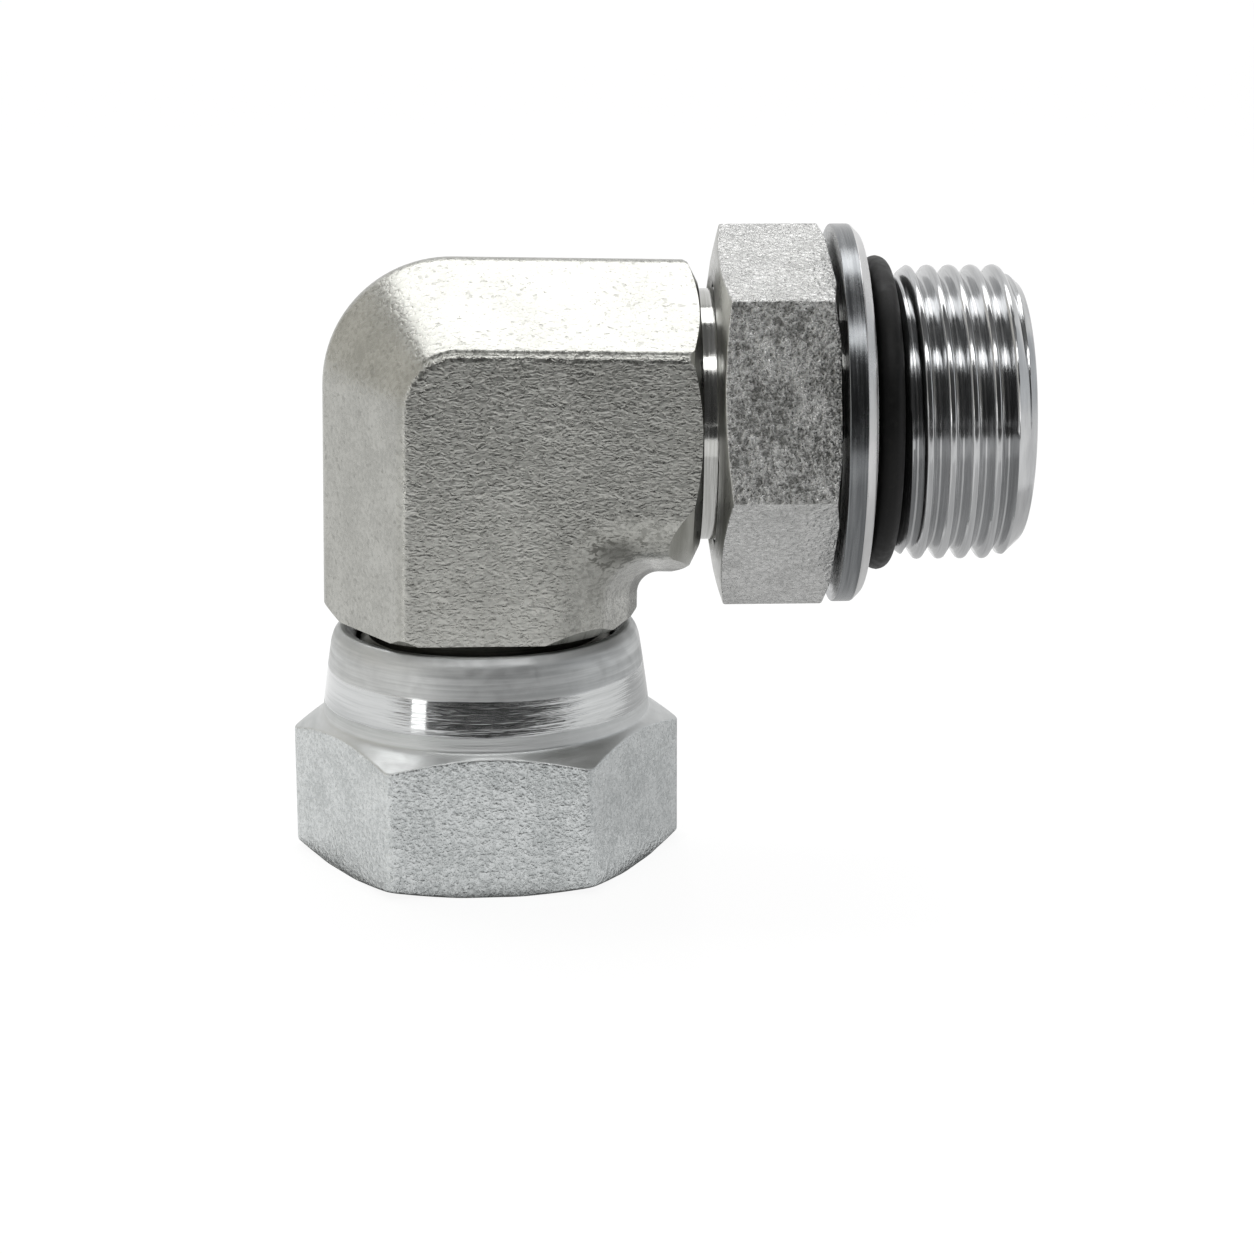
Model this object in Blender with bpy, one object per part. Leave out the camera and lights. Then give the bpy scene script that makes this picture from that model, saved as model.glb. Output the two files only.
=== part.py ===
"""A 90 degree hydraulic adapter elbow: a hexagonal forged body with an adjustable male stud (lock nut, stepped backup washer, O-ring) on the horizontal leg, and a captive female swivel nut with a crimped collar on the vertical leg.

Metres, +Z up. The stud points along +X, the object stands on the end face of the swivel nut at Z = 0, and the origin is the bottom centre of the whole box.
All lengths below are in millimetres, and MM turns them into metres.
"""

import math

import bmesh
import bpy
from mathutils import Vector

MM = 0.001

# ---- overall layout, X measured from the axis of the vertical leg
AXIS_Z = 40.7  # height of the stud's axis above the nut's end face
X_SHIFT = -15.42  # puts the origin in the middle of the whole length
SWIVEL_TURN = 2.1  # degrees, how the swivel nut's flats are turned about Z
LOCK_TURN = -13.6  # degrees, how the lock nut's corners are turned about X

# ---- forged body: a six-sided section with a corner on the parting line
BODY_R = 14.5  # from the axis to the parting line
FACE_Y = 12.4  # from the middle plane to the front and back flats
FLAT_HALF = 6.75  # half width of those flats outside the axes
INNER_HALF = 10.2  # half width of those flats on the inner side of the bend
BODY_LEAN = 1.05  # degrees, how far the forging sits askew on the turned axes
LEAN_AT = (2.2, 45.0)
RIDGE = 0.35  # half width of the parting line's flat
OUTER_BEND = 11.8  # radius of the bend along the outer parting line
INNER_BEND = 2.0  # radius of the crotch on the parting line
BODY_END_X = 19.6
BODY_END_Z = 22.15
END_X_CONE = ((12.2, 19.6), (13.9, 18.75), (15.3, 16.2))  # radius and place along the axis, from the end face back
END_Z_CONE = (13.6, 0.9)  # radius at the end face, length along the axis

# ---- stud
NECK_R = 11.5
NECK_END_X = 21.9
THREAD_R = 13.5  # M27 x 2, major radius
THREAD_PITCH = 2.0
STUD_THREAD_R = 13.2  # the threaded length under the lock nut
UNDERCUT_X = (29.4, 37.2)
UNDERCUT_R = 11.7
STUD_END_X = 48.9
STUD_END_R = 11.8
STUD_CHAMFER = 1.9
BORE_R = 7.75

# ---- tail inside the swivel nut
TAIL_R = 11.6
TAIL_NECK = (10.8, 20.5)  # radius of the groove under the elbow, and how far down it reaches
BEAD_R = 12.7
BEAD_Z = (14.0, 17.0)
NOSE_R = 11.8
NOSE_Z = 12.8
NOSE_TIP_R = 8.9
NOSE_TIP_Z = 8.95  # a 37 degree cone

# ---- swivel nut
SWIVEL_AF = 31.3
HEX_TOP_Z = 11.5  # where the corners end
SWIVEL_SLOPE = 0.47  # the cone on top of the hexagon
COLLAR = ((15.15, 13.2), (15.06, 14.5), (14.64, 17.6), (14.28, 20.0), (14.02, 20.75), (13.55, 21.35))
COLLAR_TOP_Z = 21.4
COLLAR_BORE_R = 12.0
RECESS_R = 13.1
RECESS_Z = (10.8, 17.4)
SWIVEL_THREAD_R = 12.5
MOUTH_R = 13.8
NUT_BOTTOM_R = 15.75  # radius of the flat end face
NUT_BOTTOM_SLOPE = 0.3  # how fast the corners rise from it

# ---- lock nut
LOCK_AF = 30.4
LOCK_X = (21.2, 31.2)
LOCK_NEAR = (14.8, 0.24)  # radius where the elbow side's chamfer starts, and its slope
LOCK_FAR = (16.0, 0.3)
LOCK_BOSS = 0.2  # the elbow side rises this much towards the bore
LOCK_BORE_R = 13.6

# ---- stepped backup washer
WASHER_X = (31.5, 33.4, 34.3, 34.42)  # back, end of the rim, the face, and the hub's end
WASHER_R = 17.3
WASHER_FACE_R = 16.4  # the bevel from the rim ends here
WASHER_HUB_R = 14.6
WASHER_BORE_R = 12.1
WASHER_EDGE = 0.3

# ---- O-ring
ORING_X = 35.92
ORING_IN_R = 12.0
ORING_OUT_R = 14.4

ROUND_STEPS = 96


def clear_scene():
    for obj in list(bpy.data.objects):
        bpy.data.objects.remove(obj, do_unlink=True)


def material(name, colour, metallic, roughness):
    mat = bpy.data.materials.new(name)
    mat.use_nodes = True
    bsdf = mat.node_tree.nodes["Principled BSDF"]
    bsdf.inputs["Base Color"].default_value = (*colour, 1.0)
    bsdf.inputs["Metallic"].default_value = metallic
    bsdf.inputs["Roughness"].default_value = roughness
    return mat


def mesh_object(name, points, faces, origin=(0.0, 0.0, 0.0), mat=None, smooth_below=32):
    """points in millimetres in the frame of the whole object; origin likewise."""
    centre = Vector(origin)
    mesh = bpy.data.meshes.new(name)
    mesh.from_pydata([(Vector(p) - centre) * MM for p in points], [], faces)
    bm = bmesh.new()
    bm.from_mesh(mesh)
    bmesh.ops.remove_doubles(bm, verts=bm.verts, dist=1e-7)
    bmesh.ops.recalc_face_normals(bm, faces=bm.faces)
    if bm.calc_volume(signed=True) < 0:
        bmesh.ops.reverse_faces(bm, faces=bm.faces)
    for face in bm.faces:
        face.smooth = True
    for edge in bm.edges:
        if len(edge.link_faces) == 2:
            edge.smooth = edge.calc_face_angle(0.0) < math.radians(smooth_below)
    bm.to_mesh(mesh)
    bm.free()
    obj = bpy.data.objects.new(name, mesh)
    obj.location = centre * MM
    bpy.context.scene.collection.objects.link(obj)
    if mat is not None:
        mesh.materials.append(mat)
    return obj


def ring(profile_of, angles, place):
    """A closed solid of revolution. profile_of(angle) gives a closed loop of (radius, height) with the same number of points at every angle, and place(radius, angle, height) gives the point."""
    loops = [profile_of(a) for a in angles]
    count = len(loops[0])
    points = [place(r, a, h) for a, loop in zip(angles, loops) for r, h in loop]
    faces = []
    for i in range(len(angles)):
        j = (i + 1) % len(angles)
        for k in range(count):
            m = (k + 1) % count
            faces.append((i * count + k, j * count + k, j * count + m, i * count + m))
    return points, faces


def turned(profile, angles, place):
    """A solid of revolution from an open profile whose two ends lie on the axis."""
    inner = profile[1:-1]
    count = len(inner)
    points = [place(r, a, h) for a in angles for r, h in inner]
    first, last = len(points), len(points) + 1
    points += [place(0.0, 0.0, profile[0][1]), place(0.0, 0.0, profile[-1][1])]
    faces = []
    for i in range(len(angles)):
        j = (i + 1) % len(angles)
        faces.append((first, j * count, i * count))
        for k in range(count - 1):
            faces.append((i * count + k, j * count + k, j * count + k + 1, i * count + k + 1))
        faces.append((last, i * count + count - 1, j * count + count - 1))
    return points, faces


def about_z(r, a, h):
    return (r * math.cos(a) + X_SHIFT, r * math.sin(a), h)


def about_x(r, a, h):
    """Angle 0 points up, and a positive angle turns from +Z towards -Y."""
    return (h + X_SHIFT, -r * math.sin(a), AXIS_Z + r * math.cos(a))


def even_angles(count=ROUND_STEPS, start=0.0):
    return [start + 2 * math.pi * i / count for i in range(count)]


def hex_radius(angle, across_flats, corner_angle):
    """Distance from the axis to a hexagon's side, with a corner at corner_angle."""
    off = (angle - corner_angle) % (math.pi / 3) - math.pi / 6
    return across_flats / 2 / math.cos(off)


# ---------------------------------------------------------------- forged body


def body_outline(depth, steps=10):
    """The outline of the forging in the XZ plane at this distance from its middle plane."""
    way = max(0.0, depth - RIDGE) / (FACE_Y - RIDGE)
    half = BODY_R - way * (BODY_R - FLAT_HALF)
    inner = BODY_R - way * (BODY_R - INNER_HALF)
    outer_bend = OUTER_BEND - (BODY_R - half) * 0.86
    top, low = AXIS_Z + half, AXIS_Z - inner
    crotch = INNER_BEND + (BODY_R - inner) * 0.62
    loop = [(inner, BODY_END_Z - 1)]
    for i in range(steps + 1):
        a = math.pi - (math.pi / 2) * i / steps
        loop.append((inner + crotch + crotch * math.cos(a), low - crotch + crotch * math.sin(a)))
    loop.append((BODY_END_X + 1, low))
    loop.append((BODY_END_X + 1, top))
    for i in range(steps + 1):
        a = math.pi / 2 + (math.pi / 2) * i / steps
        loop.append((-half + outer_bend + outer_bend * math.cos(a), top - outer_bend + outer_bend * math.sin(a)))
    loop.append((-half, BODY_END_Z - 1))
    # turned by the lean, with both ends square to the turned axes
    lean = math.radians(BODY_LEAN)
    cx, cz = LEAN_AT
    out = []
    for x, z in loop:
        dx, dz = x - cx, z - cz
        out.append((cx + dx * math.cos(lean) + dz * math.sin(lean), cz - dx * math.sin(lean) + dz * math.cos(lean)))
    for k in (0, len(out) - 1):
        x, z = out[k]
        out[k] = (x + math.tan(lean) * (BODY_END_Z - z), BODY_END_Z)
    for k in (steps + 2, steps + 3):
        x, z = out[k]
        out[k] = (BODY_END_X, z + math.tan(lean) * (x - BODY_END_X))
    return out


def forged_block():
    depths = [-FACE_Y, -FACE_Y * 0.5, -RIDGE, RIDGE, FACE_Y * 0.5, FACE_Y]
    outlines = [body_outline(abs(d)) for d in depths]
    count = len(outlines[0])
    points = [(x + X_SHIFT, d, z) for d, loop in zip(depths, outlines) for x, z in loop]
    faces = [tuple(range(count)), tuple(reversed(range((len(depths) - 1) * count, len(depths) * count)))]
    for i in range(len(depths) - 1):
        for k in range(count):
            m = (k + 1) % count
            faces.append((i * count + k, i * count + m, (i + 1) * count + m, (i + 1) * count + k))
    return points, faces


def boolean(obj, other, operation):
    other.hide_render = True
    other.display_type = "WIRE"
    mod = obj.modifiers.new(f"{operation.lower()}_{other.name}", "BOOLEAN")
    mod.operation = operation
    mod.solver = "EXACT"
    mod.object = other


def stud_profile():
    """From inside the body out to the end of the stud, for a solid later bored through."""
    return [
        (0.0, 8.0),
        (NECK_R, 8.0),
        (NECK_R, NECK_END_X - 0.8),
        (STUD_THREAD_R, NECK_END_X + 0.8),
        (STUD_THREAD_R, UNDERCUT_X[0] - 0.5),
        (UNDERCUT_R, UNDERCUT_X[0]),
        (UNDERCUT_R, UNDERCUT_X[1] - 0.2),
        (THREAD_R - 1.2, UNDERCUT_X[1]),
        (THREAD_R, UNDERCUT_X[1] + 1.6),
        (THREAD_R, STUD_END_X - STUD_CHAMFER),
        (STUD_END_R, STUD_END_X),
        (0.0, STUD_END_X),
    ]


def tail_profile():
    return [
        (0.0, BODY_END_Z + 4.0),
        (TAIL_NECK[0], BODY_END_Z + 4.0),
        (TAIL_NECK[0], TAIL_NECK[1]),
        (TAIL_R, TAIL_NECK[1] - 0.4),
        (TAIL_R, BEAD_Z[1]),
        (BEAD_R, BEAD_Z[1] - 0.3),
        (BEAD_R, BEAD_Z[0]),
        (NOSE_R, BEAD_Z[0]),
        (NOSE_R, NOSE_Z),
        (NOSE_TIP_R, NOSE_TIP_Z),
        (0.0, NOSE_TIP_Z),
    ]


def build_body(steel):
    points, faces = forged_block()
    body = mesh_object("elbow_body", points, faces, mat=steel)

    # the turned chamfers at the ends of the two legs
    cone_x = [(END_X_CONE[0][0], BODY_END_X + 0.5), *END_X_CONE, (22.0, END_X_CONE[-1][1]), (22.0, BODY_END_X + 0.5)]
    cutter = mesh_object("end_cut_x", *ring(lambda a: cone_x, even_angles(), about_x))
    boolean(body, cutter, "DIFFERENCE")
    r, length = END_Z_CONE
    slope = (BODY_R - r) / length
    back = length + 0.6
    cone_z = [(r, BODY_END_Z - 0.5), (r, BODY_END_Z), (r + slope * back, BODY_END_Z + back), (19.0, BODY_END_Z + back), (19.0, BODY_END_Z - 0.5)]
    cutter = mesh_object("end_cut_z", *ring(lambda a: cone_z, even_angles(), about_z))
    boolean(body, cutter, "DIFFERENCE")

    stud = mesh_object("stud_add", *turned(stud_profile(), even_angles(), about_x))
    boolean(body, stud, "UNION")
    tail = mesh_object("tail_add", *turned(tail_profile(), even_angles(), about_z))
    boolean(body, tail, "UNION")

    # the bore: a lead-in at each end, and the two bores meeting in the corner
    bore_x = [(0.0, 0.0), (BORE_R, 0.0), (BORE_R, STUD_END_X - 0.6), (BORE_R + 1.6, STUD_END_X + 1.0), (0.0, STUD_END_X + 1.0)]
    cutter = mesh_object("bore_x", *turned(bore_x, even_angles(64), about_x))
    boolean(body, cutter, "DIFFERENCE")
    bore_z = [(0.0, NOSE_TIP_Z - 1.0), (BORE_R + 0.4, NOSE_TIP_Z - 1.0), (BORE_R, NOSE_TIP_Z + 0.5), (BORE_R, AXIS_Z + 1.5), (BORE_R * 0.72, AXIS_Z + 5.6), (0.0, AXIS_Z + BORE_R)]
    cutter = mesh_object("bore_z", *turned(bore_z, even_angles(64, math.pi / 64), about_z))
    boolean(body, cutter, "DIFFERENCE")
    return body


# ---------------------------------------------------------------- swivel nut


def build_swivel_nut(steel):
    corner = math.radians(SWIVEL_TURN)

    def profile(angle):
        rim = hex_radius(angle, SWIVEL_AF, corner)
        widest = SWIVEL_AF / math.sqrt(3)
        bottom = (rim - NUT_BOTTOM_R) * NUT_BOTTOM_SLOPE
        low = (min(NUT_BOTTOM_R, rim - 0.05), 0.0)
        top = HEX_TOP_Z + (widest - rim) * SWIVEL_SLOPE
        base = HEX_TOP_Z + (widest - COLLAR[0][0]) * SWIVEL_SLOPE
        return [
            (MOUTH_R, 0.0),
            low,
            (rim, max(bottom, 0.05)),
            (rim, top),
            (COLLAR[0][0], min(base, COLLAR[0][1] - 0.05)),
            *COLLAR,
            (13.45, COLLAR_TOP_Z),
            (COLLAR_BORE_R + 0.8, COLLAR_TOP_Z),
            (COLLAR_BORE_R, COLLAR_TOP_Z - 0.9),
            (COLLAR_BORE_R, RECESS_Z[1]),
            (RECESS_R, RECESS_Z[1]),
            (RECESS_R, RECESS_Z[0]),
            (SWIVEL_THREAD_R, RECESS_Z[0] - 0.6),
            (SWIVEL_THREAD_R, MOUTH_R - SWIVEL_THREAD_R),
        ]

    points, faces = ring(profile, even_angles(start=corner), about_z)
    return mesh_object("swivel_nut", points, faces, origin=(X_SHIFT, 0.0, HEX_TOP_Z / 2), mat=steel)


# ---------------------------------------------------------------- lock nut


def build_lock_nut(steel):
    corner = math.radians(LOCK_TURN)
    x0, x1 = LOCK_X

    def profile(angle):
        rim = hex_radius(angle, LOCK_AF, corner)
        near_r, far_r = min(LOCK_NEAR[0], rim - 0.05), min(LOCK_FAR[0], rim - 0.05)
        return [
            (LOCK_BORE_R + 0.6, x0 - LOCK_BOSS),
            (near_r, x0),
            (rim, x0 + (rim - near_r) * LOCK_NEAR[1]),
            (rim, x1 - (rim - far_r) * LOCK_FAR[1]),
            (far_r, x1),
            (LOCK_BORE_R + 0.6, x1),
            (LOCK_BORE_R, x1 - 0.6),
            (LOCK_BORE_R, x0 + 0.6),
        ]

    points, faces = ring(profile, even_angles(start=corner), about_x)
    return mesh_object("lock_nut", points, faces, origin=((x0 + x1) / 2 + X_SHIFT, 0.0, AXIS_Z), mat=steel)


# ---------------------------------------------------------------- washer and O-ring


def build_washer(steel):
    x0, x1, x2, x3 = WASHER_X
    e = WASHER_EDGE
    loop = [
        (WASHER_BORE_R, x0),
        (WASHER_R - e, x0),
        (WASHER_R, x0 + e),
        (WASHER_R, x1),
        (WASHER_FACE_R, x2),
        (WASHER_HUB_R, x2),
        (WASHER_HUB_R - 0.12, x3),
        (WASHER_BORE_R, x3),
    ]
    points, faces = ring(lambda a: loop, even_angles(), about_x)
    return mesh_object("backup_washer", points, faces, origin=((x0 + x1) / 2 + X_SHIFT, 0.0, AXIS_Z), mat=steel)


def build_oring(rubber):
    half = (ORING_OUT_R - ORING_IN_R) / 2
    middle = (ORING_OUT_R + ORING_IN_R) / 2
    loop = [(middle + half * math.cos(t), ORING_X + half * math.sin(t)) for t in even_angles(24)]
    points, faces = ring(lambda a: loop, even_angles(), about_x)
    return mesh_object("o_ring", points, faces, origin=(ORING_X + X_SHIFT, 0.0, AXIS_Z), mat=rubber)


def main():
    clear_scene()
    forged = material("zinc_forged", (0.55, 0.56, 0.54), 1.0, 0.42)
    nut = material("zinc_nut", (0.60, 0.61, 0.60), 1.0, 0.38)
    lock = material("zinc_lock_nut", (0.56, 0.57, 0.56), 1.0, 0.38)
    bright = material("zinc_turned", (0.66, 0.67, 0.66), 1.0, 0.22)
    rubber = material("black_rubber", (0.02, 0.02, 0.02), 0.0, 0.55)
    build_body(forged)
    build_swivel_nut(nut)
    build_lock_nut(lock)
    build_washer(bright)
    build_oring(rubber)


main()
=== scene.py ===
"""Looks of the hydraulic elbow adapter: detailed steel and rubber pieces round the fixed CAD frame, with procedural materials, a pale floor, soft studio light and the camera.

Lengths in this file are in millimetres unless a name says otherwise, and MM turns them into metres. X is measured from the swivel leg's axis and shifted by X_SHIFT.
"""

import math

import bmesh
import bpy
import numpy as np
from mathutils import Matrix, Vector


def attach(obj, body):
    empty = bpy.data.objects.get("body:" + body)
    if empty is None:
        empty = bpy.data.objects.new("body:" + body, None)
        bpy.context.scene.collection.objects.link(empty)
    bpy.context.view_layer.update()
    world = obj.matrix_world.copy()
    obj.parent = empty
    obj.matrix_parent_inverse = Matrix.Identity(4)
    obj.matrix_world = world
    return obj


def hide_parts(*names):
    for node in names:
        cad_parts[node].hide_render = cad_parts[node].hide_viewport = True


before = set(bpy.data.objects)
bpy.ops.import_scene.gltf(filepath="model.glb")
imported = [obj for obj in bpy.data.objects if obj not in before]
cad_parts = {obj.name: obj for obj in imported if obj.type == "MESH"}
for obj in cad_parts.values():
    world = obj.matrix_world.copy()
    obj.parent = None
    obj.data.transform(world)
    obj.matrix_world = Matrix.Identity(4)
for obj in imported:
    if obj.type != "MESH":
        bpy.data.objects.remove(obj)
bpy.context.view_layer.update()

MM = 0.001
TAU = 2 * math.pi

# ---- the frame's own sizes
AXIS_Z = 40.7
X_SHIFT = -15.42
BODY_R, FACE_Y, FLAT_HALF, INNER_HALF = 14.5, 12.4, 6.75, 10.2
BODY_LEAN, LEAN_AT = 1.05, (2.2, 45.0)  # the forging sits slightly askew on the turned axes
OUTER_BEND, INNER_BEND = 11.8, 2.0
BODY_END_X, BODY_END_Z = 19.6, 22.15
END_X_CONE, END_Z_CONE = ((12.2, 19.6), (13.9, 18.75), (15.3, 16.2)), (13.6, 0.9)
NECK_R, NECK_END_X = 11.5, 21.9
THREAD_R, THREAD_PITCH, STUD_THREAD_R = 13.5, 2.0, 13.2
UNDERCUT_X, UNDERCUT_R = (29.4, 37.2), 11.7
STUD_END_X, STUD_END_R, STUD_CHAMFER = 48.9, 11.8, 1.9
BORE_R = 7.75
TAIL_R, TAIL_NECK = 11.6, (10.8, 20.5)
BEAD_R, BEAD_Z = 12.7, (14.0, 17.0)
NOSE_R, NOSE_Z, NOSE_TIP_R, NOSE_TIP_Z = 11.8, 12.8, 8.9, 8.95
SWIVEL_AF, SWIVEL_TURN, HEX_TOP_Z, SWIVEL_SLOPE = 31.3, 2.1, 11.5, 0.47
COLLAR = ((15.15, 13.2), (15.06, 14.5), (14.64, 17.6), (14.28, 20.0), (14.02, 20.75))
COLLAR_TOP_Z, COLLAR_BORE_R = 21.4, 12.0
RECESS_R, RECESS_Z = 13.1, (10.8, 17.4)
SWIVEL_THREAD_R, MOUTH_R, NUT_BOTTOM_R = 12.5, 13.8, 15.75
LOCK_AF, LOCK_TURN, LOCK_X = 30.4, -13.6, (21.2, 31.3)
LOCK_NEAR, LOCK_FAR, LOCK_BOSS, LOCK_BORE_R = (14.8, 0.24), (16.0, 0.30), 0.35, 13.6
LOCK_LIP_R = 12.35
WASHER_X, WASHER_R, WASHER_FACE_R, WASHER_HUB_R, WASHER_BORE_R = (31.75, 33.4, 34.3, 34.6), 17.3, 16.4, 14.5, 12.1
ORING_X, ORING_IN_R, ORING_OUT_R = 35.92, 12.15, 14.4

# ---- looks only
RIDGE_ROUND = 2.0  # radius over the parting line
EDGE_ROUND, INNER_ROUND = 1.5, 5.0  # radius between a flat and the bevel beside it, outside and in the crotch
BAND = (14.5, 17.7)  # the polished band round the collar
THREAD_START = 36.75  # a crest's place at the top of the stud


# ================================================================ node helpers


class Tree:
    """Short names for the nodes that the materials use."""

    def __init__(self, name):
        self.mat = bpy.data.materials.new(name)
        self.mat.use_nodes = True
        self.t = self.mat.node_tree
        self.bsdf = self.t.nodes["Principled BSDF"]
        self.x = -1800

    def node(self, kind, **props):
        n = self.t.nodes.new(kind)
        self.x += 40
        n.location = (self.x, 300 - (len(self.t.nodes) % 9) * 160)
        for k, v in props.items():
            setattr(n, k, v)
        return n

    def put(self, socket, value):
        if isinstance(value, bpy.types.NodeSocket):
            self.t.links.new(value, socket)
        elif value is not None:
            socket.default_value = value

    def coords(self, scale=(1, 1, 1)):
        """Object coordinates in millimetres, stretched by scale."""
        tc = self.node("ShaderNodeTexCoord")
        m = self.node("ShaderNodeMapping")
        self.t.links.new(tc.outputs["Object"], m.inputs["Vector"])
        m.inputs["Scale"].default_value = tuple(1000 * s for s in scale)
        return m.outputs["Vector"]

    def normal(self):
        tc = self.node("ShaderNodeTexCoord")
        return tc.outputs["Normal"]

    def noise(self, vector, scale, detail=2.0, rough=0.5, distort=0.0, w=None):
        n = self.node("ShaderNodeTexNoise")
        n.noise_dimensions = "3D"
        self.put(n.inputs["Vector"], vector)
        n.inputs["Scale"].default_value = scale
        n.inputs["Detail"].default_value = detail
        n.inputs["Roughness"].default_value = rough
        n.inputs["Distortion"].default_value = distort
        return n.outputs["Fac"]

    def voronoi(self, vector, scale, feature="F1", rand=1.0):
        n = self.node("ShaderNodeTexVoronoi", feature=feature)
        self.put(n.inputs["Vector"], vector)
        n.inputs["Scale"].default_value = scale
        n.inputs["Randomness"].default_value = rand
        return n.outputs["Distance"]

    def math(self, op, a, b=None, c=None, clamp=False):
        n = self.node("ShaderNodeMath", operation=op, use_clamp=clamp)
        for s, v in zip(n.inputs, (a, b, c)):
            self.put(s, v)
        return n.outputs[0]

    def span(self, value, lo, hi, to_lo=0.0, to_hi=1.0):
        n = self.node("ShaderNodeMapRange", interpolation_type="SMOOTHSTEP")
        self.put(n.inputs["Value"], value)
        for k, v in (("From Min", lo), ("From Max", hi), ("To Min", to_lo), ("To Max", to_hi)):
            n.inputs[k].default_value = v
        return n.outputs["Result"]

    def split(self, vector):
        n = self.node("ShaderNodeSeparateXYZ")
        self.put(n.inputs[0], vector)
        return n.outputs

    def join(self, x, y, z):
        n = self.node("ShaderNodeCombineXYZ")
        for s, v in zip(n.inputs, (x, y, z)):
            self.put(s, v)
        return n.outputs[0]

    def mix(self, factor, a, b):
        n = self.node("ShaderNodeMix", data_type="RGBA")
        self.put(n.inputs["Factor"], factor)
        self.put(n.inputs["A"], (*a, 1.0) if isinstance(a, tuple) else a)
        self.put(n.inputs["B"], (*b, 1.0) if isinstance(b, tuple) else b)
        return n.outputs["Result"]

    def bump(self, height, depth_mm, normal=None, strength=1.0):
        n = self.node("ShaderNodeBump")
        n.inputs["Strength"].default_value = strength
        n.inputs["Distance"].default_value = depth_mm * MM
        self.put(n.inputs["Height"], height)
        if normal is not None:
            self.put(n.inputs["Normal"], normal)
        return n.outputs["Normal"]

    def finish(self, colour, rough, normal=None, metallic=1.0):
        self.put(self.bsdf.inputs["Base Color"], (*colour, 1.0) if isinstance(colour, tuple) else colour)
        self.bsdf.inputs["Metallic"].default_value = metallic
        self.put(self.bsdf.inputs["Roughness"], rough)
        if normal is not None:
            self.put(self.bsdf.inputs["Normal"], normal)
        return self.mat


def around(t, axis):
    """(distance along the axis, a place that changes across the grooves and only slowly round the axis) in millimetres for a turned surface about the stud's or the swivel's axis."""
    x, y, z = t.split(t.coords())
    if axis == "x":
        along, a, b = x, y, t.math("SUBTRACT", z, AXIS_Z)
    else:
        along, a, b = z, t.math("SUBTRACT", x, X_SHIFT), y
    radius = t.math("SQRT", t.math("ADD", t.math("MULTIPLY", a, a), t.math("MULTIPLY", b, b)))
    across = t.math("MULTIPLY_ADD", radius, 0.85, along)
    turn_a = t.math("MULTIPLY", t.math("DIVIDE", a, radius), 0.42)
    turn_b = t.math("MULTIPLY", t.math("DIVIDE", b, radius), 0.42)
    return along, t.join(across, turn_a, turn_b)


# ================================================================ materials


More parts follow.
